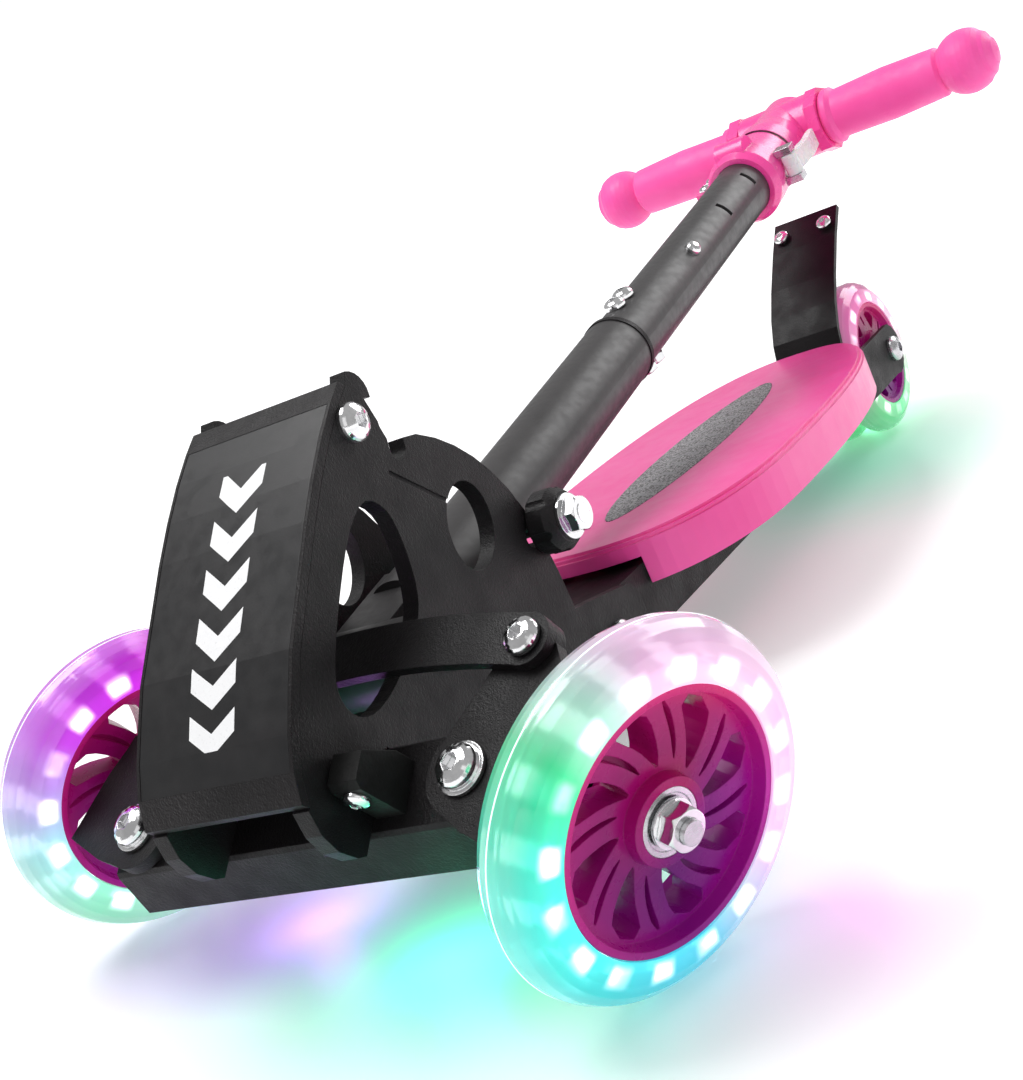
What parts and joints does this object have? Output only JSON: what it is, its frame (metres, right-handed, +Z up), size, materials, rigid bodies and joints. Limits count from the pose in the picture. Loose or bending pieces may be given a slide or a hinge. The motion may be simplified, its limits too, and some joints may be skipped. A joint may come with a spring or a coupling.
{
  "type": "folding kick scooter",
  "caption": "Child's three-wheeled folding kick scooter: lean-to-steer front wheels, flat oval deck, twin rear wheels with brake fender, folding stem with telescoping bar.",
  "frame": {"origin": "On the floor, at the middle of the scooter's box, with the scooter standing on its wheels as it is parked.", "axes": "+Y points to the rear, the way the folded stem points; +X is the rider's left, the side that the deck leans away from; +Z is up."},
  "size_m": [0.3049, 0.6596, 0.2132],
  "materials": {
    "black_paint": "fine black texture coat",
    "black_plastic": "fine grain",
    "panel": "smooth, blank",
    "stem_paint": "satin grey-black",
    "steel": "polished",
    "plated": "plated",
    "rubber": "matt",
    "deck_pink": "satin, light grain",
    "hub_pink": "gloss",
    "clear_tyre": "clear cast wheel tread",
    "lamp": "white lamp ring",
    "grip_pink": "soft touch",
    "tee_pink": "gloss",
    "white": "white",
    "inlay": "grip tape"
  },
  "bodies": {
    "body": {"side_plate_right": "black_paint", "side_plate_left": "black_paint", "front_cover": "black_plastic", "cover_panel": "panel", "front_beam": "black_paint", "king_bolts": "steel", "king_nuts": "plated", "plate_bolts": "steel", "deck_bolts": "plated", "stem_pivot": "steel", "bump_blocks": "rubber", "bump_screws": "steel", "deck": "deck_pink", "deck_inlay": "inlay", "deck_frame": "black_paint", "rear_axle": "plated", "fender_pin": "plated"},
    "knuckle_right": {"knuckle_right": "black_paint", "axle_right": "plated", "axle_nut_right": "steel", "tie_bolt_right": "steel"},
    "knuckle_left": {"knuckle_left": "black_paint", "axle_left": "plated", "axle_nut_left": "steel", "tie_bolt_left": "steel"},
    "tie": {"tie_strap": "black_paint"},
    "wheel_right": {"tyre_right": "clear_tyre", "lamps_right": "lamp", "hub_right": "hub_pink", "bearings_right": "plated"},
    "wheel_left": {"tyre_left": "clear_tyre", "lamps_left": "lamp", "hub_left": "hub_pink", "bearings_left": "plated"},
    "rear_wheel_right": {"rear_tyre_right": "clear_tyre", "rear_hub_right": "hub_pink", "rear_bearings_right": "plated"},
    "rear_wheel_left": {"rear_tyre_left": "clear_tyre", "rear_hub_left": "hub_pink", "rear_bearings_left": "plated"},
    "fender": {"brake_fender": "black_plastic", "fender_bolts": "steel"},
    "stem": {"stem_foot": "stem_paint", "joint_ring": "black_plastic", "stem_tube": "stem_paint", "stem_bolts": "steel", "clamp_collar": "tee_pink", "collar_screws": "steel", "lever_pin": "plated"},
    "lock": {"lock_pin": "steel", "lock_knobs": "black_plastic"},
    "bar": {"inner_tube": "plated", "white_band": "white", "handle_tee": "tee_pink", "grip_right": "grip_pink", "grip_left": "grip_pink"},
    "lever": {"clamp_lever": "white"},
    "button": {"snap_button": "steel"}
  },
  "joints": [
    {"name": "steer_right", "type": "hinge", "parent": "body", "child": "knuckle_right", "pos_m": [0.06956, -0.2712, 0.06616], "axis": [-0.0935, -0.6187, 0.7801], "range_deg": [0, 56]},
    {"name": "steer_left", "type": "hinge", "parent": "body", "child": "knuckle_left", "pos_m": [-0.08036, -0.2712, 0.04819], "axis": [-0.0935, -0.6187, 0.7801], "range_deg": [0, 56]},
    {"name": "tie_swing", "type": "hinge", "parent": "knuckle_right", "child": "tie", "pos_m": [0.08538, -0.2528, 0.10777], "axis": [-0.0935, -0.6187, 0.7801], "range_deg": [-56, 0]},
    {"name": "spin_right", "type": "hinge", "parent": "knuckle_right", "child": "wheel_right", "pos_m": [0.12107, -0.2733, 0.05913], "axis": [0.9112, -0.3688, -0.1833], "continuous": true},
    {"name": "spin_left", "type": "hinge", "parent": "knuckle_left", "child": "wheel_left", "pos_m": [-0.11816, -0.23715, 0.05913], "axis": [0.9112, -0.3688, -0.1833], "continuous": true},
    {"name": "spin_rear_right", "type": "hinge", "parent": "body", "child": "rear_wheel_right", "pos_m": [0.00781, 0.27385, 0.04777], "axis": [0.9929, 0, 0.119], "continuous": true},
    {"name": "spin_rear_left", "type": "hinge", "parent": "body", "child": "rear_wheel_left", "pos_m": [-0.01602, 0.27385, 0.04492], "axis": [0.9929, 0, 0.119], "continuous": true},
    {"name": "stem_fold", "type": "hinge", "parent": "body", "child": "stem", "pos_m": [-0.00905, -0.21532, 0.08767], "axis": [0.9929, 0, 0.119], "range_deg": [0, 64.8]},
    {"name": "lock_slide", "type": "slide", "parent": "stem", "child": "lock", "axis": [-0.0211, 0.9841, 0.1762], "range_m": [-0.009, 0]},
    {"name": "bar_slide", "type": "slide", "parent": "stem", "child": "bar", "axis": [-0.0211, 0.9841, 0.1762], "range_m": [0, 0.14]},
    {"name": "lever_swing", "type": "hinge", "parent": "stem", "child": "lever", "pos_m": [0.00677, 0.24132, 0.17248], "axis": [0.1171, 0.1774, -0.9771], "range_deg": [0, 100]},
    {"name": "button_press", "type": "slide", "parent": "stem", "child": "button", "axis": [-0.7462, 0.1018, -0.6579], "range_m": [0, 0.003], "stiffness_N_per_m": 400},
    {"name": "fender_press", "type": "hinge", "parent": "body", "child": "fender", "pos_m": [-0.00479, 0.22182, 0.05211], "axis": [0.9929, 0, 0.119], "range_deg": [-9.5, 0], "stiffness_Nm_per_rad": 2}
  ],
  "couplings": [
    {"joint": "steer_left", "follows": "steer_right", "ratio": 1},
    {"joint": "tie_swing", "follows": "steer_right", "ratio": -1}
  ]
}
